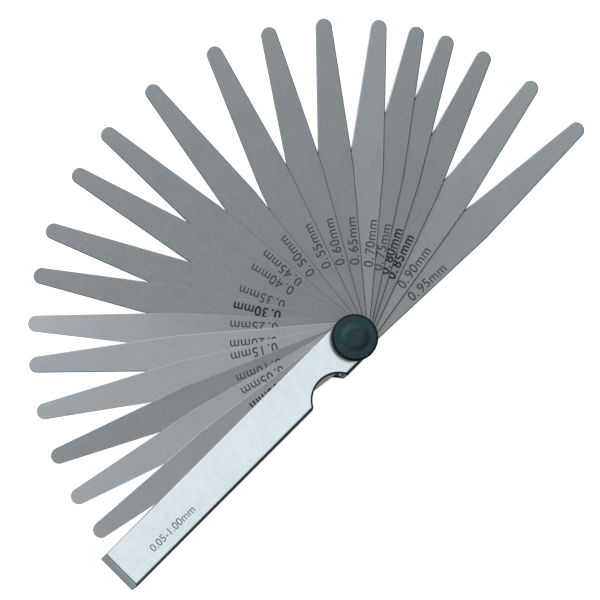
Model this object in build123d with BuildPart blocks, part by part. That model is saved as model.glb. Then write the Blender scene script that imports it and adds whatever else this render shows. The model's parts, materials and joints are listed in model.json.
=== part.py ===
"""Feeler gauge: twenty calibrated leaves fanned out of a folded steel sheath.

Millimetres. The sheath lies along -X from the pivot, its open side faces +Y,
its spine -Y. The origin is on the pivot axis at the outside of the back
plate, and +Z points from there to the locking screw's head.
"""
import os
from math import asin, atan2, cos, hypot, radians, sin

from build123d import *

# --- driving dimensions -----------------------------------------------------

# Leaves
LEAF_STEP = 0.05          # thickness of the thinnest leaf, and the step to the next
LEAF_COUNT = 20
LEAF_LENGTH = 100.0       # root end to tip
LEAF_WIDTH = 10.4
LEAF_STRAIGHT = 51.0      # pivot axis to where the taper starts
LEAF_TIP_RADIUS = 2.4
LEAF_GAP = 0.05           # air between two leaves, and beside the outer ones

# Sheath, one folded sheet
SHEET = 0.9               # sheet thickness
SHEATH_SIDE = 0.35        # gap between a folded leaf's long edge and the spine
SHEATH_END = 0.75         # gap between a folded leaf's tip and the end wall
BEND_INNER = 0.4          # inside radius of each fold
SPINE_TO_PIVOT = 2.0      # the spine stops this far short of the pivot axis

# Thumb notch, cut through both plates and the spine
NOTCH_RADIUS = 7.85
NOTCH_FROM_PIVOT = 15.85  # along the sheath
NOTCH_OFF_EDGE = 3.3      # notch centre outside the spine's outer face
NOTCH_CORNER = 1.8        # rounding of the notch's corner away from the pivot

# Pivot bush and locking screw
SLEEVE_RADIUS = 3.1
RUNNING_CLEARANCE = 0.05  # radial, leaf on sleeve, sleeve in front plate
THREAD_RADIUS = 2.5       # M5, drawn at its crest
THREAD_CLEARANCE = 0.04
BUSH_FLOOR = 1.3
BUSH_BELOW_FACE = 0.35    # bush end below the front plate's outer face
SCREW_END_GAP = 0.4       # screw tip above the bore's floor when tight
SCREW_TIP_CHAMFER = 0.5

WASHER_RADIUS = 5.6
WASHER_THICKNESS = 0.5

HEAD_RADIUS = 6.85
HEAD_HEIGHT = 3.0         # flat underside to the top of the boss
HEAD_RIM = 0.7            # width of the rounded rim
BOSS_RISE = 0.35          # of the low boss in the middle, above the flat round it
BOSS_FOOT = 4.6           # radius where the boss starts to rise
BOSS_TOP = 2.3            # radius of its flat top
KNURL_COUNT = 72
KNURL_DEPTH = 0.18
KNURL_TOP_LAND = 1.15      # plain band between the knurl and the top

# Opening of each leaf from the sheath's axis, in degrees, as the fan lies. A
# leaf's number is its thickness in steps, so leaf 13 is the 0.65 mm one.
REST_OPENING = {
    20: 7.8, 1: 15.0, 2: 23.1, 3: 31.5, 4: 40.0, 5: 47.4, 6: 56.1,
    7: 64.5, 8: 75.7, 9: 84.9, 10: 96.2, 11: 109.5, 12: 120.1, 13: 130.3,
    14: 140.4, 15: 147.4, 16: 153.1, 17: 160.5, 18: 170.7, 19: 182.0,
}

# --- derived sizes ----------------------------------------------------------

HALF_LEAF = LEAF_WIDTH / 2
LEAF_REACH = LEAF_LENGTH - HALF_LEAF
STACK = LEAF_STEP * LEAF_COUNT * (LEAF_COUNT + 1) / 2
CHANNEL = STACK + LEAF_GAP * (LEAF_COUNT + 1)
SHEATH_THICKNESS = CHANNEL + 2 * SHEET
FRONT_PLATE = SHEET + CHANNEL

SHEATH_HALF = HALF_LEAF + SHEATH_SIDE + SHEET
SHEATH_REACH = LEAF_REACH + SHEATH_END + SHEET
BEND_OUTER = BEND_INNER + SHEET
SLEEVE_HOLE = SLEEVE_RADIUS + RUNNING_CLEARANCE
BUSH_TOP = SHEATH_THICKNESS - BUSH_BELOW_FACE
BUSH_BORE = THREAD_RADIUS + THREAD_CLEARANCE
FLUSH_HEAD = SLEEVE_RADIUS + SHEET

WASHER_SEAT = SHEATH_THICKNESS
HEAD_SEAT = WASHER_SEAT + WASHER_THICKNESS
HEAD_TOP = HEAD_SEAT + HEAD_HEIGHT
SCREW_TIP = BUSH_FLOOR + SCREW_END_GAP
PAST = 5.0                # how far a cutter runs past what it cuts


def save(part, name):
    """Label a finished piece and write it as its own STEP file."""
    part.label = name
    export_step(part, f"parts/{name}.step")


def folded_envelope(reach, half_width, low, high, radius):
    """The folded sheet's inside or outside, rounded along its four folds."""
    height = high - low
    middle = (low + high) / 2
    open_side = SHEATH_HALF + PAST
    with BuildPart() as envelope:
        with BuildSketch(Plane.YZ.offset(-SPINE_TO_PIVOT)):
            with Locations(((open_side - half_width) / 2, middle)):
                Rectangle(open_side + half_width, height)
            fillet(vertices().group_by(Axis.X)[0], radius)
        extrude(amount=-(reach + PAST - SPINE_TO_PIVOT))
        with BuildSketch(Plane.XZ.offset(-open_side)):
            with Locations((-(reach - PAST) / 2, middle)):
                Rectangle(reach + PAST, height)
            fillet(vertices().group_by(Axis.X)[0], radius)
        extrude(amount=2 * open_side, mode=Mode.INTERSECT)
    return envelope.part


def make_sheath():
    """One sheet folded into front plate, spine, back plate and end wall."""
    cavity = folded_envelope(
        SHEATH_REACH - SHEET, SHEATH_HALF - SHEET, SHEET, FRONT_PLATE, BEND_INNER
    )
    with BuildPart() as sheath:
        add(folded_envelope(
            SHEATH_REACH, SHEATH_HALF, 0, SHEATH_THICKNESS, BEND_OUTER
        ))
        with BuildSketch(Plane.XY):
            with Locations((-SHEATH_REACH / 2, 0)):
                Rectangle(SHEATH_REACH, 2 * SHEATH_HALF)
        extrude(amount=SHEATH_THICKNESS, mode=Mode.INTERSECT)
        add(cavity, mode=Mode.SUBTRACT)

        # Round ends of the two plates, either side of the pivot
        for plate_z in (0, FRONT_PLATE):
            with BuildSketch(Plane.XY.offset(plate_z)):
                Circle(SHEATH_HALF)
                with Locations((-SPINE_TO_PIVOT / 2, 0)):
                    Rectangle(SPINE_TO_PIVOT, 2 * SHEATH_HALF)
                with Locations((-SPINE_TO_PIVOT - SHEATH_HALF, 0)):
                    Rectangle(2 * SHEATH_HALF, 2 * SHEATH_HALF, mode=Mode.SUBTRACT)
            extrude(amount=SHEET)

        # Thumb notch, with the rounded corner on its far side
        notch_y = -SHEATH_HALF - NOTCH_OFF_EDGE
        with BuildSketch(Plane.XY.offset(-PAST)):
            with Locations((-NOTCH_FROM_PIVOT, notch_y)):
                Circle(NOTCH_RADIUS)
            with Locations((-NOTCH_FROM_PIVOT - NOTCH_RADIUS, notch_y - NOTCH_RADIUS)):
                Rectangle(
                    2 * NOTCH_RADIUS, NOTCH_OFF_EDGE + NOTCH_RADIUS,
                    align=(Align.CENTER, Align.MIN),
                )
            on_spine_face = vertices().group_by(Axis.Y)[-1]
            fillet(on_spine_face.sort_by(Axis.X)[-1], NOTCH_CORNER)
        extrude(amount=SHEATH_THICKNESS + 2 * PAST, mode=Mode.SUBTRACT)

        # Countersunk seat of the bush in the back plate, sleeve hole in the front
        with BuildSketch(Plane.XY):
            Circle(FLUSH_HEAD)
        extrude(amount=SHEET, taper=45, mode=Mode.SUBTRACT)
        with BuildSketch(Plane.XY.offset(FRONT_PLATE)):
            Circle(SLEEVE_HOLE)
        extrude(amount=SHEET, mode=Mode.SUBTRACT)
    return sheath.part


def make_leaf(thickness, bottom, opening):
    """One leaf, pointing the way it lies in the fan."""
    taper_run = LEAF_REACH - LEAF_TIP_RADIUS - LEAF_STRAIGHT
    taper = atan2(HALF_LEAF, taper_run) - asin(LEAF_TIP_RADIUS / hypot(HALF_LEAF, taper_run))
    tip_x = LEAF_REACH - LEAF_TIP_RADIUS * (1 - sin(taper))
    tip_y = LEAF_TIP_RADIUS * cos(taper)
    direction = radians(180 - opening)
    lie = Plane(
        origin=(0, 0, bottom),
        x_dir=(cos(direction), sin(direction), 0),
        z_dir=(0, 0, 1),
    )
    with BuildPart() as leaf:
        with BuildSketch(lie):
            with BuildLine():
                ThreePointArc((0, HALF_LEAF), (-HALF_LEAF, 0), (0, -HALF_LEAF))
                Polyline((0, -HALF_LEAF), (LEAF_STRAIGHT, -HALF_LEAF), (tip_x, -tip_y))
                ThreePointArc((tip_x, -tip_y), (LEAF_REACH, 0), (tip_x, tip_y))
                Polyline((tip_x, tip_y), (LEAF_STRAIGHT, HALF_LEAF), (0, HALF_LEAF))
            make_face()
            Circle(SLEEVE_HOLE, mode=Mode.SUBTRACT)
        extrude(amount=thickness)
    return leaf.part


def make_pivot_bush():
    """Sleeve that the leaves turn on, staked flush into the back plate."""
    with BuildPart() as bush:
        with BuildSketch(Plane.XZ):
            with BuildLine():
                Polyline(
                    (0, 0),
                    (FLUSH_HEAD, 0),
                    (SLEEVE_RADIUS, SHEET),
                    (SLEEVE_RADIUS, BUSH_TOP),
                    (BUSH_BORE, BUSH_TOP),
                    (BUSH_BORE, BUSH_FLOOR),
                    (0, BUSH_FLOOR),
                    close=True,
                )
            make_face()
        revolve(axis=Axis.Z)
    return bush.part


def make_washer():
    """Plain washer between the screw's head and the front plate."""
    with BuildPart() as washer:
        with BuildSketch(Plane.XY.offset(WASHER_SEAT)):
            Circle(WASHER_RADIUS)
            Circle(THREAD_RADIUS + RUNNING_CLEARANCE, mode=Mode.SUBTRACT)
        extrude(amount=WASHER_THICKNESS)
    return washer.part


def make_lock_screw():
    """Thumb screw: knurled head with a low boss on its face, and a threaded shank."""
    rim_x = HEAD_RADIUS - HEAD_RIM
    face_z = HEAD_TOP - BOSS_RISE
    with BuildPart() as screw:
        with BuildSketch(Plane.XZ):
            with BuildLine():
                Polyline(
                    (BOSS_TOP, HEAD_TOP),
                    (0, HEAD_TOP),
                    (0, SCREW_TIP),
                    (THREAD_RADIUS, SCREW_TIP),
                    (THREAD_RADIUS, HEAD_SEAT),
                    (HEAD_RADIUS, HEAD_SEAT),
                    (HEAD_RADIUS, face_z - HEAD_RIM),
                )
                RadiusArc((HEAD_RADIUS, face_z - HEAD_RIM), (rim_x, face_z), -HEAD_RIM)
                Line((rim_x, face_z), (BOSS_FOOT, face_z))
                Spline(
                    (BOSS_FOOT, face_z),
                    (BOSS_TOP, HEAD_TOP),
                    tangents=((-1, 0), (-1, 0)),
                )
            make_face()
        revolve(axis=Axis.Z)

        # Straight knurl round the head's side
        knurl_height = HEAD_HEIGHT - KNURL_TOP_LAND
        with BuildSketch(Plane.XY.offset(HEAD_SEAT)):
            with PolarLocations(HEAD_RADIUS, KNURL_COUNT):
                Circle(KNURL_DEPTH)
        extrude(amount=knurl_height, mode=Mode.SUBTRACT)
        tip_edge = edges().filter_by(GeomType.CIRCLE).sort_by(Axis.Z)[0]
        chamfer(tip_edge, length=SCREW_TIP_CHAMFER)
    return screw.part


os.makedirs("parts", exist_ok=True)

save(make_sheath(), "sheath")
save(make_pivot_bush(), "pivot_bush")
save(make_washer(), "screw_washer")
save(make_lock_screw(), "lock_screw")

# From the back plate up: 0.95 down to 0.05, with the 1.00 mm leaf on top
leaf_order = list(range(LEAF_COUNT - 1, 0, -1)) + [LEAF_COUNT]
leaf_z = SHEET + LEAF_GAP
for number in leaf_order:
    leaf_thickness = number * LEAF_STEP
    save(make_leaf(leaf_thickness, leaf_z, REST_OPENING[number]), f"leaf_{number:02d}")
    leaf_z += leaf_thickness + LEAF_GAP

print(f"sheath {SHEATH_REACH + SHEATH_HALF:.2f} x {2 * SHEATH_HALF:.2f} x {SHEATH_THICKNESS:.2f} mm")
print(f"leaf reach {LEAF_REACH:.2f} mm, channel {CHANNEL:.2f} mm, head top {HEAD_TOP:.2f} mm")
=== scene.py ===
# %% [markdown]
# # A feeler gauge, fanned open
#
# A feeler gauge measures a narrow gap by what fits in it. Twenty steel leaves, 0.05 mm to
# 1.00 mm thick, turn on one bush inside a folded steel sheath, and a knurled screw clamps
# them. The frame that is loaded first holds every part at its real size and place. This
# notebook gives the same parts their edges, marks, knurl and finishes, and lights them.

import json
from math import asin, atan2, cos, hypot, pi, radians, sin, sqrt

import bmesh
import bpy
from mathutils import Matrix, Vector


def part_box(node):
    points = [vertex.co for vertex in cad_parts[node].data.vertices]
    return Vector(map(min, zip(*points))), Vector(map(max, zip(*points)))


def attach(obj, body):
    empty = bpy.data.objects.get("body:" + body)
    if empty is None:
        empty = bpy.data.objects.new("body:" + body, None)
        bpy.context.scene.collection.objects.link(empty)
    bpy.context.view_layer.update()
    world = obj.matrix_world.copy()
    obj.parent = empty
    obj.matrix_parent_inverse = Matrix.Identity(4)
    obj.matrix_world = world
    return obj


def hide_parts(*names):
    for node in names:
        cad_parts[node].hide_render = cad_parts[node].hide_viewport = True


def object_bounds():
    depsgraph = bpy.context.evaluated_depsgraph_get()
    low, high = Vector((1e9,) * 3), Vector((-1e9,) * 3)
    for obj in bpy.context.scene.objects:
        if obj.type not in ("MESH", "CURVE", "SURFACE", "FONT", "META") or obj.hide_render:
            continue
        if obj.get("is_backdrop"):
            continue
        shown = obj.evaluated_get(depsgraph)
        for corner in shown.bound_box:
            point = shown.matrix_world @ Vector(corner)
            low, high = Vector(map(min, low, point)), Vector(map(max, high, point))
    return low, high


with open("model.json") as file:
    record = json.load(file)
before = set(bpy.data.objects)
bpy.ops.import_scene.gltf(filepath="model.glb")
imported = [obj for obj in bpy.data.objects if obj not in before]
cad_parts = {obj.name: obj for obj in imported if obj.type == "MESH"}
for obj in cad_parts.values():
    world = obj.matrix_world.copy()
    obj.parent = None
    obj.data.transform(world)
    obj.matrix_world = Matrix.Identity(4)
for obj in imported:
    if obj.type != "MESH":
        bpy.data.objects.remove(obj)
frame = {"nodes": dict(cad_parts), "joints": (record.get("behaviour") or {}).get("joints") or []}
cad_low, cad_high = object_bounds()
MM = 0.001
leaf_names = sorted(name for name in frame["nodes"] if name.startswith("leaf_"))
print(len(frame["nodes"]), "parts,", len(leaf_names), "of them leaves")

# %% [markdown]
# ## Writing node trees as code
#
# A material or a shape that follows a rule is a tree of nodes. Clicking one together by
# hand hides what it works out, so here arithmetic is written as arithmetic. A Wire stands
# for one output socket, and an operator on it adds the Math node. Every other kind of node
# comes from one method, which takes the node's settings first and its sockets after.

# %% Wires and node books
class Wire:
    """One output socket. Arithmetic on it adds Math nodes to its tree."""

    def __init__(self, book, socket):
        self.book = book
        self.socket = socket

    def math(self, operation, *others):
        """One Math node that takes this wire first."""
        return self.book.add("ShaderNodeMath", {"operation": operation}, [self, *others])

    def __add__(self, other):
        return self.math("ADD", other)

    def __radd__(self, other):
        return self.math("ADD", other)

    def __sub__(self, other):
        return self.math("SUBTRACT", other)

    def __rsub__(self, other):
        return self.book.add("ShaderNodeMath", {"operation": "SUBTRACT"}, [other, self])

    def __mul__(self, other):
        return self.math("MULTIPLY", other)

    def __rmul__(self, other):
        return self.math("MULTIPLY", other)

    def __truediv__(self, other):
        return self.math("DIVIDE", other)

    def __rtruediv__(self, other):
        return self.book.add("ShaderNodeMath", {"operation": "DIVIDE"}, [other, self])

    def __pow__(self, other):
        return self.math("POWER", other)

    def __abs__(self):
        return self.math("ABSOLUTE")

    def smooth(self, low, high):
        """0 below low, 1 above high, and a smooth step between them."""
        return self.book.add(
            "ShaderNodeMapRange",
            {"interpolation_type": "SMOOTHSTEP"},
            {"Value": self, "From Min": low, "From Max": high},
        )


class NodeBook:
    """A node tree that is written from top to bottom."""

    def __init__(self, tree):
        self.tree = tree

    def plug(self, socket, value):
        """Link a wire to a socket, or set the socket to a plain value."""
        if isinstance(value, Wire):
            self.tree.links.new(value.socket, socket)
        else:
            socket.default_value = value

    def place(self, kind, settings=None, sockets=None):
        """A new node: its kind, its settings, then the values or wires of its sockets."""
        node = self.tree.nodes.new(kind)
        for name, value in (settings or {}).items():
            setattr(node, name, value)
        pairs = sockets.items() if isinstance(sockets, dict) else enumerate(sockets or [])
        for key, value in pairs:
            self.plug(node.inputs[key], value)
        return node

    def out(self, node, key=0):
        """The wire of one of a node's outputs."""
        return Wire(self, node.outputs[key])

    def add(self, kind, settings=None, sockets=None, output=0):
        """A new node, of which only one output is wanted."""
        return self.out(self.place(kind, settings, sockets), output)

    def vector(self, operation, *values):
        """One Vector Math node."""
        return self.add("ShaderNodeVectorMath", {"operation": operation}, list(values))

    def combine(self, x, y, z):
        """A vector from three numbers or wires."""
        return self.add("ShaderNodeCombineXYZ", None, [x, y, z])


print("node helpers ready")

# %% [markdown]
# ## Growing plain meshes from Geometry Nodes
#
# Every leaf is the same shape with another thickness and another place, so one tree draws
# them all. A tree gets named inputs for its sizes. The modifier's inputs are set by each
# socket's identifier, the result is copied out as a plain mesh, and the object that carried
# the modifier is thrown away, so nothing live is left on a finished piece.

# %% Tree and piece helpers
MERGE = 0.001 * MM
FINE_MERGE = 0.0005 * MM


def shape_tree(name, inputs):
    """An empty Geometry Nodes tree with the named inputs, and its node book."""
    tree = bpy.data.node_groups.new(name, "GeometryNodeTree")
    tree.interface.new_socket("Geometry", in_out="INPUT", socket_type="NodeSocketGeometry")
    for title, kind in inputs:
        tree.interface.new_socket(title, in_out="INPUT", socket_type=f"NodeSocket{kind}")
    tree.interface.new_socket("Geometry", in_out="OUTPUT", socket_type="NodeSocketGeometry")
    book = NodeBook(tree)
    return tree, book, book.place("NodeGroupInput")


def end_tree(book, shape, source):
    """Close a tree: plain geometry, with the material that came in by name."""
    real = book.add("GeometryNodeRealizeInstances", None, {"Geometry": shape})
    dressed = book.add(
        "GeometryNodeSetMaterial", None, {"Geometry": real, "Material": book.out(source, "Material")}
    )
    book.place("NodeGroupOutput", None, [dressed])


def grow(tree, base, sizes):
    """Run a tree on a base mesh with these inputs and return the result as a plain mesh."""
    carrier = bpy.data.objects.new("carrier", base)
    bpy.context.scene.collection.objects.link(carrier)
    modifier = carrier.modifiers.new("grow", "NODES")
    modifier.node_group = tree
    for item in tree.interface.items_tree:
        if item.item_type == "SOCKET" and item.in_out == "INPUT" and item.name in sizes:
            modifier[item.identifier] = sizes[item.name]
    evaluated = carrier.evaluated_get(bpy.context.evaluated_depsgraph_get())
    mesh = bpy.data.meshes.new_from_object(evaluated)
    bpy.data.objects.remove(carrier)
    return mesh


def finish_mesh(mesh, smooth_angle):
    """Outward normals, smooth faces, and sharp edges above an angle in degrees."""
    work = bmesh.new()
    work.from_mesh(mesh)
    bmesh.ops.recalc_face_normals(work, faces=work.faces)
    work.to_mesh(mesh)
    work.free()
    mesh.shade_smooth()
    mesh.set_sharp_from_angle(angle=radians(smooth_angle))


def piece(name, mesh, body, material=None):
    """A finished piece: an object at the origin that rides on a body of the frame."""
    mesh.name = name
    obj = bpy.data.objects.new(name, mesh)
    bpy.context.scene.collection.objects.link(obj)
    if material:
        mesh.materials.clear()
        mesh.materials.append(material)
    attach(obj, body)
    return obj


print("shape helpers ready")

# %% [markdown]
# ## The camera and the light
#
# The gauge lies flat and is seen from almost straight above, from far away, so the fan
# keeps its true shape. The picture's up is turned 45 degrees from the sheath's long axis.
# Polished steel shows what is round it more than the light that falls on it, so the room
# itself is the lamp: bright above and to the picture's upper left, dark towards its lower
# edge, which draws a dark line along each edge that faces that way. A band of plain wall
# at table height keeps most upright faces from going black in the low views.

# %% Camera
PICTURE_TURN = radians(-44.9)
PICTURE_WIDTH = 175.15 * MM
CAMERA_DISTANCE = 2400 * MM
PIVOT_RIGHT_OF_MIDDLE = 14.03 * MM
PIVOT_BELOW_MIDDLE = 12.46 * MM
LEAN_LEFT = 0.12
LEAN_DOWN = 0.10

toward_camera = Vector((-LEAN_LEFT, -LEAN_DOWN, sqrt(1 - LEAN_LEFT**2 - LEAN_DOWN**2)))
picture_axes = Matrix.Rotation(PICTURE_TURN, 4, "Z")
tilt = Vector((0, 0, 1)).rotation_difference(toward_camera).to_matrix().to_4x4()
camera_data = bpy.data.cameras.new("camera")
camera_data.sensor_width = 36.0
camera_data.lens = camera_data.sensor_width * CAMERA_DISTANCE / PICTURE_WIDTH
camera_data.clip_end = 10.0
camera = bpy.data.objects.new("camera", camera_data)
bpy.context.scene.collection.objects.link(camera)
stand_off = Vector((-PIVOT_RIGHT_OF_MIDDLE, PIVOT_BELOW_MIDDLE, CAMERA_DISTANCE))
camera.matrix_world = picture_axes @ tilt @ Matrix.Translation(stand_off)
bpy.context.scene.camera = camera
bpy.context.scene.view_settings.view_transform = "Standard"
print("lens", round(camera_data.lens), "mm, camera at", camera.matrix_world.translation[:])

# %% Room light
picture_right = picture_axes @ Vector((1, 0, 0))
picture_up = picture_axes @ Vector((0, 1, 0))
straight_up = Vector((0, 0, 1))


def from_side(right, up, high):
    """A direction given by how far it lies right, up the picture and above the table."""
    return (picture_right * right + picture_up * up + straight_up * high).normalized()


def mixed(book, first, second, amount):
    """A colour between two colours or colour wires, by a wire from 0 to 1."""
    pair = [c if isinstance(c, Wire) else (*c, 1) for c in (first, second)]
    return book.add(
        "ShaderNodeMix", {"data_type": "RGBA"}, {"Factor": amount, 6: pair[0], 7: pair[1]}, 2
    )


world = bpy.data.worlds.new("studio")
world.use_nodes = True
world.node_tree.nodes.clear()
room = NodeBook(world.node_tree)
look = room.add("ShaderNodeTexCoord", output="Generated")


def toward(direction):
    """How nearly a look direction points along a fixed one: 1 when it does."""
    node = room.place("ShaderNodeVectorMath", {"operation": "DOT_PRODUCT"}, [look, direction])
    return room.out(node, "Value")


ROOM_WALLS = (0.40, 0.42, 0.44)
DARK_SIDE = (0.02, 0.022, 0.024)
DARK_WALL = (0.025, 0.028, 0.031)
WINDOW_SIDE = (1.55, 1.6, 1.65)
TABLE_SIDE = (0.25, 0.30, 0.34)
OVERHEAD = (0.97, 1.0, 1.02)
dark = toward(from_side(0.4, -0.85, 0.3)).smooth(0.05, 0.5)
surround = mixed(room, ROOM_WALLS, DARK_SIDE, dark)
surround = mixed(room, surround, WINDOW_SIDE, toward(from_side(-0.40, 0.82, 0.55)).smooth(0.35, 0.9))
surround = mixed(room, surround, TABLE_SIDE, toward(from_side(-0.62, -0.62, -0.65)).smooth(0.2, 0.55))
level = 1.0 - abs(toward(from_side(0.0, 0.0, 1.0))).smooth(0.35, 0.55)
wall = mixed(room, ROOM_WALLS, DARK_WALL, toward(from_side(0.7, -0.7, 0.0)).smooth(0.6, 0.9))
surround = mixed(room, surround, wall, level)
surround = mixed(room, surround, OVERHEAD, toward(from_side(-0.04, 0.08, 1.0)).smooth(0.80, 0.92))
background = room.add("ShaderNodeBackground", None, {"Color": surround, "Strength": 1.0})
room.place("ShaderNodeOutputWorld", None, {"Surface": background})
bpy.context.scene.world = world

LAMP_POWER = 3.0
LAMP_SIZE = 0.5
LAMP_DISTANCE = 1.1
lamp_data = bpy.data.lights.new("window", "AREA")
lamp_data.energy = LAMP_POWER
lamp_data.size = LAMP_SIZE
lamp = bpy.data.objects.new("window", lamp_data)
bpy.context.scene.collection.objects.link(lamp)
lamp.location = from_side(-0.45, 0.55, 0.8) * LAMP_DISTANCE
lamp.rotation_euler = lamp.location.to_track_quat("Z", "Y").to_euler()
print("window at", [round(v, 2) for v in lamp.location])

# %% Floor
FLOOR_HALF = 1.5
FLOOR_COLOUR = (0.86, 0.87, 0.88, 1)
FLOOR_GLOW = 0.85
floor_mesh = bpy.data.meshes.new("floor")
corners = [(-1, -1), (1, -1), (1, 1), (-1, 1)]
corners = [(x * FLOOR_HALF, y * FLOOR_HALF, cad_low.z) for x, y in corners]
floor_mesh.from_pydata(corners, [], [(0, 1, 2, 3)])
floor = bpy.data.objects.new("floor", floor_mesh)
bpy.context.scene.collection.objects.link(floor)
floor_paint = bpy.data.materials.new("floor paint")
floor_paint.use_nodes = True
floor_shader = floor_paint.node_tree.nodes["Principled BSDF"]
floor_shader.inputs["Base Color"].default_value = FLOOR_COLOUR
floor_shader.inputs["Roughness"].default_value = 0.9
floor_shader.inputs["Emission Color"].default_value = (1, 1, 1, 1)
floor_shader.inputs["Emission Strength"].default_value = FLOOR_GLOW
floor_mesh.materials.append(floor_paint)
floor.visible_glossy = False
floor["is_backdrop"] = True
print("floor at", cad_low.z)

# %% [markdown]
# ## The finishes
#
# Four bright metals, a black finish and the ink of the marks. Steel is never one flat
# grey: rolling and grinding leave grain along the leaf, handling leaves faint smears, and
# plating shows a fine ripple.
# All of it is small noise, stretched along the grain, that feeds the colour, the roughness
# and a bump a few thousandths of a millimetre deep. Some light and shade is painted into
# the colour as well: a lighter sheen on some leaves and towards their tips, a dark band of
# shade round the sheath's notch, and a darker shade on the screw's knurled rim.

# %% Material helpers
def metal(name):
    """A new metal: its node book, its shader node, and the part's own coordinates."""
    material = bpy.data.materials.new(name)
    material.use_nodes = True
    material.node_tree.nodes.clear()
    book = NodeBook(material.node_tree)
    shader = book.place("ShaderNodeBsdfPrincipled", None, {"Metallic": 1.0})
    book.place("ShaderNodeOutputMaterial", None, {"Surface": book.out(shader)})
    return material, book, shader


def noise(book, where, scale, detail=3.0, roughness=0.55):
    """Noise from 0 to 1, with its scale in repeats per metre."""
    return book.add(
        "ShaderNodeTexNoise",
        {"noise_dimensions": "3D"},
        {"Vector": where, "Scale": scale, "Detail": detail, "Roughness": roughness},
        "Fac",
    )


def stretched(book, where, along, across, up):
    """Coordinates scaled per axis, so that noise on them turns into grain."""
    return book.add("ShaderNodeMapping", None, {"Vector": where, "Scale": (along, across, up)})


def dent(book, shader, height, depth):
    """Bump of a real depth in metres."""
    sockets = {"Height": height, "Distance": depth, "Strength": 1.0}
    bump = book.add("ShaderNodeBump", None, sockets, "Normal")
    book.plug(shader.inputs["Normal"], bump)


print("material helpers ready")

# %% Ground spring steel
def make_leaf_steel():
    """Ground leaf steel: grain along the leaf, and a painted sheen: a brightness per leaf and along it
    for the reflection each leaf catches.
    """
    material, book, shader = metal("leaf steel")
    place = book.add("ShaderNodeAttribute", {"attribute_name": "leaf_place"}, None, "Vector")
    # Painted sheen: the leaf's brightness, as the leaf tree stores it.
    tone = book.add("ShaderNodeAttribute", {"attribute_name": "leaf_tone"}, None, "Fac")
    grain = noise(book, stretched(book, place, 0.03, 1.0, 1.0), 9000, 4.0)
    streak = noise(book, stretched(book, place, 0.02, 1.0, 1.0), 1500, 2.0)
    smear = noise(book, place, 90, 3.0)
    speck = noise(book, place, 1400, 2.0)
    light = grain * 0.20 + streak * 0.15 + smear * 0.30 + speck * 0.35
    shade = (light - 0.5) * 0.34 + tone
    colour = mixed(book, (0.0, 0.0, 0.0), (0.565, 0.598, 0.620), shade)
    book.plug(shader.inputs["Base Color"], colour)
    book.plug(shader.inputs["Roughness"], grain * 0.14 + smear * 0.12 + 0.22)
    dent(book, shader, grain * 0.6 + streak * 0.4, 0.003 * MM)
    return material


leaf_steel = make_leaf_steel()
print(leaf_steel.name, len(leaf_steel.node_tree.nodes), "nodes")

# %% Nickel plate
NOTCH_FROM_PIVOT = 15.85 * MM
NOTCH_BEYOND = 9.75 * MM
NOTCH_RADIUS = 7.85 * MM
# Width and blend of a band of painted shade just outside the thumb notch.
NOTCH_PAINTED_SHADE = 0.5 * MM
NOTCH_PAINTED_SHADE_BLEND = 0.12 * MM


def make_nickel_plate():
    """Satin nickel on the sheath: bright, faintly blue, with a fine ripple and hairlines, and a band
    of painted shade round the thumb notch.
    """
    material, book, shader = metal("nickel plate")
    place = book.add("ShaderNodeTexCoord", None, None, "Object")
    hairline = noise(book, stretched(book, place, 0.04, 1.0, 1.0), 6000, 3.0)
    ripple = noise(book, place, 420, 2.0)
    cloud = noise(book, place, 60, 2.0)
    blend = hairline * 0.3 + ripple * 0.35 + cloud * 0.35
    plate = mixed(book, (0.655, 0.735, 0.765), (0.77, 0.835, 0.86), blend.smooth(0.3, 0.7))
    parts = book.place("ShaderNodeSeparateXYZ", None, [place])
    # Painted shade: a near-black band just outside the notch's circle, for the shade that lies inside
    # the notch.
    from_notch = book.out(parts, 0) + NOTCH_FROM_PIVOT
    off_centre = book.out(parts, 1) + NOTCH_BEYOND
    reach = (from_notch ** 2.0 + off_centre ** 2.0).math("SQRT")
    notch_painted_shade_end = NOTCH_RADIUS + NOTCH_PAINTED_SHADE
    notch_painted_shade = 1.0 - reach.smooth(notch_painted_shade_end, notch_painted_shade_end + NOTCH_PAINTED_SHADE_BLEND)
    colour = mixed(book, plate, (0.012, 0.014, 0.016), notch_painted_shade)
    book.plug(shader.inputs["Base Color"], colour)
    book.plug(shader.inputs["Roughness"], hairline * 0.10 + cloud * 0.12 + 0.13)
    dent(book, shader, hairline * 0.4 + ripple * 0.6, 0.003 * MM)
    return material


nickel_plate = make_nickel_plate()
print(nickel_plate.name, len(nickel_plate.node_tree.nodes), "nodes")

# %% Black screw, turned steel and marking ink
# Where the painted shade on the screw's knurled rim starts, and how soft its edge is.
RIM_PAINTED_SHADE_FROM = 6.1 * MM
RIM_PAINTED_SHADE_BLEND = 0.25 * MM


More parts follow.
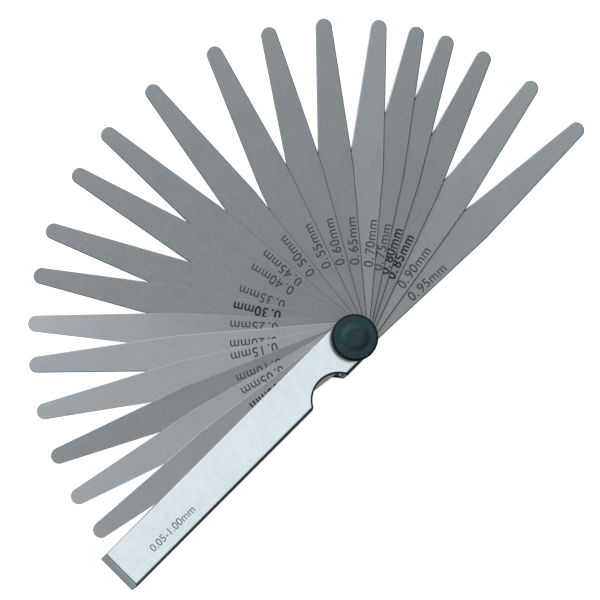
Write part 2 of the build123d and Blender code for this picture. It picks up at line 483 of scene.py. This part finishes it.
def make_black_finish():
    """Blued and oiled steel: nearly black with a green-blue cast, matt and mottled, and painted darker
    still on the knurled rim, for the shade in its grooves.
    """
    material, book, shader = metal("black finish")
    place = book.add("ShaderNodeTexCoord", None, None, "Object")
    parts = book.place("ShaderNodeSeparateXYZ", None, [place])
    radius = (book.out(parts, 0) ** 2.0 + book.out(parts, 1) ** 2.0).math("SQRT")
    # Painted shade: past 6.1 mm from the axis the colour goes near black, for the shade the knurl's
    # grooves hold.
    rim_painted_shade = radius.smooth(RIM_PAINTED_SHADE_FROM, RIM_PAINTED_SHADE_FROM + RIM_PAINTED_SHADE_BLEND)
    grit = noise(book, place, 3200, 3.0)
    mottle = noise(book, place, 900, 2.0)
    blend = grit * 0.65 + mottle * 0.35
    face = mixed(book, (0.019, 0.036, 0.044), (0.036, 0.064, 0.078), blend.smooth(0.32, 0.68))
    colour = mixed(book, face, (0.003, 0.004, 0.005), rim_painted_shade)
    book.plug(shader.inputs["Base Color"], colour)
    book.plug(shader.inputs["Roughness"], grit * 0.15 + mottle * 0.1 + 0.28)
    book.plug(shader.inputs["Metallic"], 0.9 - rim_painted_shade * 0.6)
    shader.inputs["Specular IOR Level"].default_value = 0.2
    dent(book, shader, grit * 0.7 + mottle * 0.3, 0.006 * MM)
    return material


def make_turned_steel(name, dark, light):
    """Lathe-turned steel: fine rings round the axis, under a little oil."""
    material, book, shader = metal(name)
    place = book.add("ShaderNodeTexCoord", None, None, "Object")
    parts = book.place("ShaderNodeSeparateXYZ", None, [place])
    radius = (book.out(parts, 0) ** 2.0 + book.out(parts, 1) ** 2.0).math("SQRT")
    rings = noise(book, book.combine(radius, 0.0, book.out(parts, 2)), 9000, 2.0)
    film = noise(book, place, 500, 2.0)
    colour = mixed(book, dark, light, rings * 0.5 + film * 0.5)
    book.plug(shader.inputs["Base Color"], colour)
    book.plug(shader.inputs["Roughness"], rings * 0.15 + film * 0.15 + 0.22)
    dent(book, shader, rings, 0.004 * MM)
    return material


def make_mark_ink():
    """Etched and blackened marking: dark grey, matt, a little uneven in tone."""
    material, book, shader = metal("etched mark")
    place = book.add("ShaderNodeTexCoord", None, None, "Object")
    tone = book.add("ShaderNodeAttribute", {"attribute_name": "leaf_tone"}, None, "Fac")
    fleck = noise(book, place, 5000, 2.0)
    patch = noise(book, place, 900, 2.0)
    shade = (fleck * 0.5 + patch * 0.5 - 0.5) * 0.7 + tone
    colour = mixed(book, (0.0, 0.0, 0.0), (0.30, 0.32, 0.335), shade)
    book.plug(shader.inputs["Base Color"], colour)
    book.plug(shader.inputs["Roughness"], fleck * 0.2 + 0.5)
    shader.inputs["Metallic"].default_value = 0.2
    return material


black_finish = make_black_finish()
bush_steel = make_turned_steel("bush steel", (0.30, 0.31, 0.32), (0.50, 0.51, 0.52))
washer_steel = make_turned_steel("washer steel", (0.12, 0.125, 0.13), (0.26, 0.27, 0.28))
mark_ink = make_mark_ink()
print("black finish, bush steel, washer steel, etched mark")

# %% [markdown]
# ## The leaves
#
# A leaf is stamped from spring steel strip: straight for half its length, then tapered to
# a round tip, with a round root that turns on the bush. Stamping and tumbling break its
# edges very slightly, and that break is what catches the light as a thin line. A Bevel
# modifier could cut it, but on a 0.05 mm leaf its width would need tuning leaf by leaf.
# The tree instead walks round the outline once: in by the break, up, up again, and back
# in. Each point of the outline carries the direction that points into the steel.

# %% Outline of a leaf
LEAF_HALF = 5.2 * MM
LEAF_REACH = 94.8 * MM
LEAF_STRAIGHT = 51.0 * MM
TIP_RADIUS = 2.4 * MM
SLEEVE_HOLE = 3.15 * MM
ROOT_STEPS = 40
TIP_STEPS = 24
HOLE_STEPS = 48


def arc(centre_x, radius, start, end, steps):
    """Points of an arc about a centre on the X axis, each with its inward direction."""
    points = []
    for i in range(steps + 1):
        angle = start + (end - start) * i / steps
        out = Vector((cos(angle), sin(angle), 0))
        points.append((Vector((centre_x, 0, 0)) + out * radius, -out))
    return points


def leaf_outline():
    """The leaf's edge and its hole as a mesh of bare edges with an inward direction."""
    run = LEAF_REACH - TIP_RADIUS - LEAF_STRAIGHT
    taper = atan2(LEAF_HALF, run) - asin(TIP_RADIUS / hypot(LEAF_HALF, run))
    side = Vector((sin(taper / 2), cos(taper / 2), 0)) / cos(taper / 2)
    tip_turn = pi / 2 - taper
    ring = arc(0.0, LEAF_HALF, pi / 2, 3 * pi / 2, ROOT_STEPS)
    ring.append((Vector((LEAF_STRAIGHT, -LEAF_HALF, 0)), Vector((-side.x, side.y, 0))))
    ring += arc(LEAF_REACH - TIP_RADIUS, TIP_RADIUS, -tip_turn, tip_turn, TIP_STEPS)
    ring.append((Vector((LEAF_STRAIGHT, LEAF_HALF, 0)), -side))
    hole = [(p, -n) for p, n in arc(0.0, SLEEVE_HOLE, 2 * pi, 0, HOLE_STEPS)[:-1]]
    points = ring + hole
    edges = [(i, (i + 1) % len(ring)) for i in range(len(ring))]
    edges += [(len(ring) + i, len(ring) + (i + 1) % len(hole)) for i in range(len(hole))]
    mesh = bpy.data.meshes.new("leaf outline")
    mesh.from_pydata([p for p, _ in points], edges, [])
    inward = mesh.attributes.new("inward", "FLOAT_VECTOR", "POINT")
    for i, (_, n) in enumerate(points):
        inward.data[i].vector = n
    return mesh


outline = leaf_outline()
print(len(outline.vertices), "points round the leaf and its hole")

# %% Tree: a leaf from its outline
# Painted sheen along a leaf: where it passes through the leaf's level, and the length over which it
# rises by the tip gain.
TIP_SHEEN_MIDDLE = 65.0 * MM
TIP_SHEEN_SPAN = 30.0 * MM


def turn_and_lift(book, shape, source):
    """Turn a shape about the pivot and lift it to its height in the stack."""
    turn = book.combine(0.0, 0.0, book.out(source, "Turn"))
    lift = book.combine(0.0, 0.0, book.out(source, "Height"))
    return book.add(
        "GeometryNodeTransform", None, {"Geometry": shape, "Translation": lift, "Rotation": turn}
    )


def make_leaf_tree():
    """One leaf: the outline goes in, a solid with broken edges comes out."""
    tree, book, source = shape_tree("leaf", [
        ("Thickness", "Float"), ("Edge In", "Float"), ("Edge Down", "Float"), ("Height", "Float"),
        ("Turn", "Float"), ("Tone", "Float"), ("Tip Gain", "Float"), ("Material", "Material"),
    ])
    inward = book.add(
        "GeometryNodeInputNamedAttribute", {"data_type": "FLOAT_VECTOR"}, {"Name": "inward"}
    )
    thickness = book.out(source, "Thickness")
    edge_in = book.out(source, "Edge In")
    edge_down = book.out(source, "Edge Down")
    step_in = book.vector("MULTIPLY", inward, book.combine(edge_in, edge_in, 0.0))
    up = book.combine(0.0, 0.0, edge_down)
    foot = book.add(
        "GeometryNodeSetPosition", None, {"Geometry": book.out(source), "Offset": step_in}
    )
    rises = [
        book.vector("SUBTRACT", up, step_in),
        book.combine(0.0, 0.0, thickness - edge_down * 2.0),
        book.vector("ADD", up, step_in),
    ]
    wall, top = foot, None
    for rise in rises:
        sockets = {"Mesh": wall, "Offset": rise}
        if top:
            sockets["Selection"] = top
        extrude = book.place("GeometryNodeExtrudeMesh", {"mode": "EDGES"}, sockets)
        wall, top = book.out(extrude, "Mesh"), book.out(extrude, "Top")
    rings = book.add("GeometryNodeMeshToCurve", None, {"Mesh": foot})
    face = book.add("GeometryNodeFillCurve", None, {"Curve": rings})
    lid = book.add(
        "GeometryNodeTransform", None,
        {"Geometry": face, "Translation": book.combine(0.0, 0.0, thickness)},
    )
    whole = book.place("GeometryNodeJoinGeometry")
    for part in (wall, face, lid):
        book.plug(whole.inputs[0], part)
    solid = book.add(
        "GeometryNodeMergeByDistance", None, {"Geometry": book.out(whole), "Distance": MERGE}
    )
    placed = book.add(
        "GeometryNodeStoreNamedAttribute",
        {"data_type": "FLOAT_VECTOR", "domain": "POINT"},
        {"Geometry": solid, "Name": "leaf_place", "Value": book.add("GeometryNodeInputPosition")},
    )
    # Painted sheen: a brightness per leaf, plus a slope towards the tip, for the reflection each leaf
    # catches at its angle.
    parts = book.place("ShaderNodeSeparateXYZ", None, [book.add("GeometryNodeInputPosition")])
    along = book.out(parts)
    tone = (along - TIP_SHEEN_MIDDLE) / TIP_SHEEN_SPAN * book.out(source, "Tip Gain") + book.out(source, "Tone")
    toned = book.add(
        "GeometryNodeStoreNamedAttribute",
        {"data_type": "FLOAT", "domain": "POINT"},
        {"Geometry": placed, "Name": "leaf_tone", "Value": tone},
    )
    end_tree(book, turn_and_lift(book, toned, source), source)
    return tree


leaf_tree = make_leaf_tree()
print("leaf tree has", len(leaf_tree.nodes), "nodes")

# %% Tree: a mark
MARK_DEPTH = 0.02 * MM
MARK_PROUD = 0.012 * MM
WORD_SPACING = 0.4


def make_mark_tree():
    """A line of figures as a thin closed solid, sunk into the face that it marks."""
    tree, book, source = shape_tree("mark", [
        ("Text", "String"), ("Letter Size", "Float"), ("Letter Spacing", "Float"),
        ("Weight", "Float"), ("Start", "Vector"), ("Height", "Float"), ("Turn", "Float"),
        ("Tone", "Float"), ("Material", "Material"),
    ])
    letters = book.add(
        "GeometryNodeStringToCurves", None,
        {"String": book.out(source, "Text"), "Size": book.out(source, "Letter Size"),
         "Character Spacing": book.out(source, "Letter Spacing"), "Word Spacing": WORD_SPACING},
    )
    outlines = book.add("GeometryNodeRealizeInstances", None, {"Geometry": letters})
    points = book.add(
        "GeometryNodeResampleCurve",
        {"keep_last_segment": True, "mode": "EVALUATED"},
        {"Curve": outlines},
    )
    tangent = book.add("GeometryNodeInputTangent")
    sideways = book.vector("CROSS_PRODUCT", tangent, (0, 0, 1))
    weight = book.out(source, "Weight")
    thicken = book.vector("MULTIPLY", sideways, book.combine(weight, weight, 0.0))
    outlines = book.add("GeometryNodeSetPosition", None, {"Geometry": points, "Offset": thicken})
    face = book.add("GeometryNodeFillCurve", None, {"Curve": outlines})
    raised = book.add(
        "GeometryNodeExtrudeMesh", {"mode": "FACES"},
        {"Mesh": face, "Offset Scale": MARK_DEPTH, "Individual": False},
    )
    back = book.add("GeometryNodeFlipFaces", None, {"Mesh": face})
    whole = book.place("GeometryNodeJoinGeometry")
    for part in (raised, back):
        book.plug(whole.inputs[0], part)
    solid = book.add(
        "GeometryNodeMergeByDistance", None, {"Geometry": book.out(whole), "Distance": FINE_MERGE}
    )
    started = book.add(
        "GeometryNodeTransform", None, {"Geometry": solid, "Translation": book.out(source, "Start")}
    )
    toned = book.add(
        "GeometryNodeStoreNamedAttribute",
        {"data_type": "FLOAT", "domain": "POINT"},
        {"Geometry": started, "Name": "leaf_tone", "Value": book.out(source, "Tone")},
    )
    end_tree(book, turn_and_lift(book, toned, source), source)
    return tree


mark_tree = make_mark_tree()
print("mark tree has", len(mark_tree.nodes), "nodes")

# %% Twenty leaves and their marks
LEAF_STEP = 0.05
EDGE_DOWN_SHARE = 0.3
EDGE_DOWN_MOST = 0.11 * MM
EDGE_SLOPE = 2.2
LEAF_SMOOTH = 12
MARK_SIZE = 4.0 * MM
MARK_SPACING = 1.06
MARK_START = Vector((21.9 * MM, -4.1 * MM, 0))
MARK_SMOOTH = 30
THIN_WEIGHT, DARK_WEIGHT = 0.045 * MM, 0.11 * MM
THIN_TONE, DARK_TONE = 0.2, 0.05
# Painted sheen: the pale and lighter leaves, and the brighter tip of leaf 5, are painted lighter for
# the reflection they catch at their angles; the usual tone is the plain steel.
USUAL_TONE, PAINTED_LIGHTER_SHEEN, PAINTED_PALE_SHEEN = 0.43, 0.50, 0.60
LIGHTER_SHEEN_LEAVES = {14, 18, 19, 20}
PALE_SHEEN_LEAVES = {1, 3, 4, 5}
TIP_SHEEN_GAIN, BRIGHT_TIP_SHEEN_GAIN = 0.03, 0.12
BRIGHT_TIP_SHEEN_LEAVES = {5}
EDGE_BREAK = {4: 1.6, 5: 0.6, 20: 0.3}
DARK_MARKS = {6, 16, 17, 20}
MARK_ASIDE = {
    1: 0.3, 2: 1.3, 4: 1.6, 5: 0.4, 6: 0.2, 7: 0.2, 8: -0.3,
    13: -0.3, 14: -0.5, 15: -0.6, 16: -0.6, 20: 0.9,
}
swing = {joint["child"]: joint for joint in frame["joints"]}
bare = bpy.data.meshes.new("nothing")
for name in leaf_names:
    number = int(name.split("_")[1])
    low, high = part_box(name)
    thickness = high.z - low.z
    edge_down = min(EDGE_DOWN_SHARE * thickness, EDGE_DOWN_MOST) * EDGE_BREAK.get(number, 1.0)
    turn = radians(180 + swing[name]["range_deg"][0])
    # The painted sheen of this leaf.
    tone = PAINTED_PALE_SHEEN if number in PALE_SHEEN_LEAVES else USUAL_TONE
    if number in LIGHTER_SHEEN_LEAVES:
        tone = PAINTED_LIGHTER_SHEEN
    mesh = grow(leaf_tree, outline, {
        "Thickness": thickness,
        "Edge In": edge_down * EDGE_SLOPE, "Edge Down": edge_down,
        "Height": low.z, "Turn": turn, "Tone": tone, "Material": leaf_steel,
        "Tip Gain": BRIGHT_TIP_SHEEN_GAIN if number in BRIGHT_TIP_SHEEN_LEAVES else TIP_SHEEN_GAIN,
    })
    finish_mesh(mesh, LEAF_SMOOTH)
    leaf = piece(f"{name}_steel", mesh, name)
    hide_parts(name)
    aside = Vector((0, MARK_ASIDE.get(number, 0.0) * MM, 0))
    mark = grow(mark_tree, bare, {
        "Text": f"{number * LEAF_STEP:.2f}mm".replace(".", ". "), "Letter Size": MARK_SIZE,
        "Letter Spacing": MARK_SPACING, "Start": MARK_START + aside, "Turn": turn,
        "Weight": DARK_WEIGHT if number in DARK_MARKS else THIN_WEIGHT,
        "Height": high.z + MARK_PROUD - MARK_DEPTH,
        "Tone": DARK_TONE if number in DARK_MARKS else THIN_TONE, "Material": mark_ink,
    })
    finish_mesh(mark, MARK_SMOOTH)
    piece(f"{name}_mark", mark, name)
    if number in (1, 20):
        print(name, round(thickness / MM, 3), "mm thick,", len(mesh.polygons), "faces")

# %% [markdown]
# ## The turned parts
#
# The screw, the bush and the washer all come off a lathe, so one tree turns any profile
# round the pivot axis. Screw or Spin could do that too, but the screw's head is knurled:
# the same tree pulls the radius in seventy-two times round, between two heights. A grid
# is bent into the round, its points read the profile by number, and the seam and the
# poles close when points in the same place are merged.

# %% Tree: a turned part
FLUTE_BLEND = 0.25 * MM


def make_lathe_tree():
    """Turn a profile, given as points in the XZ plane, round Z, with optional flutes."""
    tree, book, source = shape_tree("lathe", [
        ("Around", "Int"), ("Flutes", "Int"), ("Flute Depth", "Float"),
        ("Flute Bottom", "Float"), ("Flute Top", "Float"), ("Material", "Material"),
    ])
    profile = book.out(source)
    around = book.out(source, "Around")
    rows = book.add("GeometryNodeAttributeDomainSize", {"component": "MESH"}, {"Geometry": profile})
    grid = book.add(
        "GeometryNodeMeshGrid", None, {"Vertices X": around + 1.0, "Vertices Y": rows}
    )
    index = book.add("GeometryNodeInputIndex")
    column = (index / rows + 0.0001).math("FLOOR")
    row = index - column * rows
    sample = book.add(
        "GeometryNodeSampleIndex",
        {"data_type": "FLOAT_VECTOR", "domain": "POINT"},
        {"Geometry": profile, "Value": book.add("GeometryNodeInputPosition"), "Index": row},
    )
    point = book.place("ShaderNodeSeparateXYZ", None, [sample])
    height = book.out(point, 2)
    angle = column / around * (2 * pi)
    wave = abs((angle * book.out(source, "Flutes") / 2.0).math("SINE"))
    bottom, top = book.out(source, "Flute Bottom"), book.out(source, "Flute Top")
    above_bottom = height.smooth(bottom, bottom + FLUTE_BLEND)
    fluted = above_bottom * (1.0 - height.smooth(top - FLUTE_BLEND, top))
    groove = (1.0 - wave) * fluted * book.out(source, "Flute Depth")
    radius = book.out(point, 0) - groove
    bent = book.combine(radius * angle.math("COSINE"), radius * angle.math("SINE"), height)
    turned = book.add("GeometryNodeSetPosition", None, {"Geometry": grid, "Position": bent})
    closed = book.add(
        "GeometryNodeMergeByDistance", None, {"Geometry": turned, "Distance": MERGE}
    )
    end_tree(book, closed, source)
    return tree


lathe_tree = make_lathe_tree()
print("lathe tree has", len(lathe_tree.nodes), "nodes")

# %% Profiles
STEPS_AROUND = 96
TURNED_SMOOTH = 38


def rounded(corner_x, corner_z, radius, start, end, steps=6):
    """Points of a rounded corner: its centre, its radius and its two angles in degrees."""
    points = []
    for i in range(steps + 1):
        angle = radians(start + (end - start) * i / steps)
        points.append((corner_x + radius * cos(angle), corner_z + radius * sin(angle)))
    return points


def profile_mesh(points):
    """A profile as a mesh of points only, in the XZ plane."""
    mesh = bpy.data.meshes.new("profile")
    mesh.from_pydata([(x, 0, z) for x, z in points], [], [])
    return mesh


def turn_part(name, points, body, slot, material, around=STEPS_AROUND, **flutes):
    """Turn a profile into a finished piece that stands for the CAD node of that name."""
    sizes = {
        "Around": around, "Flutes": 0, "Flute Depth": 0.0,
        "Flute Bottom": 0.0, "Flute Top": 1.0, "Material": material,
    }
    sizes.update({key.replace("_", " ").title(): value for key, value in flutes.items()})
    mesh = grow(lathe_tree, profile_mesh(points), sizes)
    finish_mesh(mesh, TURNED_SMOOTH)
    part = piece(f"{name}_turned", mesh, body)
    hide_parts(name)
    print(part.name, len(mesh.polygons), "faces")
    return part


screw_low, screw_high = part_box("lock_screw")
washer_low, washer_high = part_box("screw_washer")
bush_low, bush_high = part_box("pivot_bush")
sheath_low, sheath_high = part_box("sheath")
print("head seat at", round(washer_high.z / MM, 2), "mm, head top at", round(screw_high.z / MM, 2))

# %% The locking screw
HEAD_RIM = 0.7 * MM
HEAD_FOOT_ROUND = 0.25 * MM
BOSS_RISE = 0.35 * MM
BOSS_FOOT = 4.6 * MM
BOSS_TOP = 2.3 * MM
SHANK_RADIUS = 2.5 * MM
SHANK_CHAMFER = 0.5 * MM
BOSS_STEPS = 16
SIDE_STEPS = 10
RIM_STEPS = 10
KNURL_COUNT = 72
STEPS_PER_GROOVE = 8
KNURL_DEPTH = 0.17 * MM
KNURL_TOP_LAND = 1.15 * MM

head_radius = screw_high.x
head_top = screw_high.z
head_seat = washer_high.z


def eased(a, b, share):
    """From a to b with no slope at either end."""
    return a + (b - a) * (3 * share**2 - 2 * share**3)


rim_inner = head_radius - HEAD_RIM
face_z = head_top - BOSS_RISE
face = []
for i in range(BOSS_STEPS + 1):
    share = i / BOSS_STEPS
    face.append((BOSS_FOOT + (BOSS_TOP - BOSS_FOOT) * share, eased(face_z, head_top, share)))
face.append((0, head_top))
side_low = head_seat + HEAD_FOOT_ROUND
side_high = face_z - HEAD_RIM
side_run = side_high - side_low
side = [(head_radius, side_low + side_run * i / SIDE_STEPS) for i in range(1, SIDE_STEPS)]
screw_profile = (
    [(0, screw_low.z), (SHANK_RADIUS - SHANK_CHAMFER, screw_low.z)]
    + [(SHANK_RADIUS, screw_low.z + SHANK_CHAMFER), (SHANK_RADIUS, head_seat)]
    + rounded(head_radius - HEAD_FOOT_ROUND, side_low, HEAD_FOOT_ROUND, -90, 0)
    + side
    + rounded(rim_inner, side_high, HEAD_RIM, 0, 90, RIM_STEPS)
    + face
)
turn_part(
    "lock_screw", screw_profile, "lock_screw", "black_screw", black_finish,
    around=KNURL_COUNT * STEPS_PER_GROOVE, flutes=KNURL_COUNT, flute_depth=KNURL_DEPTH,
    flute_bottom=head_seat, flute_top=head_top - KNURL_TOP_LAND,
)

# %% The bush and the washer
SLEEVE_RADIUS = 3.1 * MM
BUSH_BORE = 2.54 * MM
BUSH_FLOOR = 1.3 * MM
SHEET = 0.9 * MM
SMALL_CHAMFER = 0.12 * MM
WASHER_BORE = 2.55 * MM

flush_head = bush_high.x
bush_profile = [
    (0, bush_low.z), (flush_head, bush_low.z), (SLEEVE_RADIUS, bush_low.z + SHEET),
    (SLEEVE_RADIUS, bush_high.z - SMALL_CHAMFER), (SLEEVE_RADIUS - SMALL_CHAMFER, bush_high.z),
    (BUSH_BORE, bush_high.z), (BUSH_BORE, BUSH_FLOOR), (0, BUSH_FLOOR),
]
turn_part("pivot_bush", bush_profile, "sheath", "bush_steel", bush_steel)

washer_radius = washer_high.x
washer_profile = [
    (WASHER_BORE, washer_low.z), (washer_radius - SMALL_CHAMFER, washer_low.z),
    (washer_radius, washer_low.z + SMALL_CHAMFER), (washer_radius, washer_high.z - SMALL_CHAMFER),
    (washer_radius - SMALL_CHAMFER, washer_high.z), (WASHER_BORE, washer_high.z),
    (WASHER_BORE, washer_low.z),
]
turn_part("screw_washer", washer_profile, "screw_washer", "washer_steel", washer_steel)

# %% [markdown]
# ## The sheath
#
# The sheath is one blank of sheet, folded round three sides and plated. Its bends are in
# the frame's solid already. What the solid lacks is the slight rounding that deburring and
# plating leave on every cut edge, so a copy of it is merged, its flat faces are joined up,
# and a Bevel on the sharp edges alone rounds them by about a tenth of a millimetre.

# %% Sheath with softened edges
SHEATH_EDGE = 0.12 * MM
SHEATH_EDGE_STEPS = 4
INSIDE_SLACK = 0.01 * MM
INNER_SHARE = 0.5
FLAT_ANGLE = radians(0.5)
CUT_EDGE_ANGLE = radians(40)


def inside_sheath(point):
    """True for a point on the walls of the space that the leaves fold into."""
    over_back = point.z > sheath_low.z + SHEET - INSIDE_SLACK
    under_front = point.z < sheath_high.z - SHEET + INSIDE_SLACK
    off_spine = point.y > sheath_low.y + SHEET - INSIDE_SLACK
    off_end = point.x > sheath_low.x + SHEET - INSIDE_SLACK
    return over_back and under_front and off_spine and off_end


def make_sheath_mesh():
    """The frame's sheath, merged into clean faces, with its cut edges rounded."""
    mesh = frame["nodes"]["sheath"].data.copy()
    work = bmesh.new()
    work.from_mesh(mesh)
    bmesh.ops.remove_doubles(work, verts=work.verts, dist=FINE_MERGE)
    bmesh.ops.dissolve_limit(
        work, angle_limit=FLAT_ANGLE, verts=work.verts, edges=work.edges, use_dissolve_boundaries=False
    )
    share = work.edges.layers.float.new("bevel_weight_edge")
    for edge in work.edges:
        if edge.is_manifold and edge.calc_face_angle() > CUT_EDGE_ANGLE:
            inner = all(inside_sheath(vert.co) for vert in edge.verts)
            edge[share] = INNER_SHARE if inner else 1.0
    work.to_mesh(mesh)
    work.free()
    mesh.shade_smooth()
    mesh.set_sharp_from_angle(angle=CUT_EDGE_ANGLE)
    mesh.materials.clear()
    carrier = bpy.data.objects.new("carrier", mesh)
    bpy.context.scene.collection.objects.link(carrier)
    bevel = carrier.modifiers.new("edges", "BEVEL")
    bevel.width = SHEATH_EDGE
    bevel.segments = SHEATH_EDGE_STEPS
    bevel.limit_method = "WEIGHT"
    bevel.harden_normals = True
    evaluated = carrier.evaluated_get(bpy.context.evaluated_depsgraph_get())
    result = bpy.data.meshes.new_from_object(evaluated)
    bpy.data.objects.remove(carrier)
    return result


sheath_mesh = make_sheath_mesh()
sheath = piece("sheath_plated", sheath_mesh, "sheath", nickel_plate)
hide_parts("sheath")
print("sheath has", len(sheath_mesh.polygons), "faces")

# %% Range mark on the sheath
RANGE_TEXT = "0.05-1.00mm"
RANGE_SIZE = 3.3 * MM
RANGE_WEIGHT = 0.02 * MM
RANGE_TONE = 0.6
RANGE_START = Vector((-85.6 * MM, -2.85 * MM, 0))
range_mark = grow(mark_tree, bare, {
    "Text": RANGE_TEXT, "Letter Size": RANGE_SIZE, "Letter Spacing": 1.0, "Start": RANGE_START,
    "Weight": RANGE_WEIGHT, "Height": sheath_high.z + MARK_PROUD - MARK_DEPTH, "Turn": 0.0,
    "Tone": RANGE_TONE, "Material": mark_ink,
})
finish_mesh(range_mark, MARK_SMOOTH)
piece("sheath_range_mark", range_mark, "sheath")
print("range mark reads", RANGE_TEXT)

# %% [markdown]
# ## Finish
#
# The finished object's box is printed, in millimetres.

# %% Sizes and finish
low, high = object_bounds()
print("visual box", [round(v / MM, 2) for v in (*low, *high)])
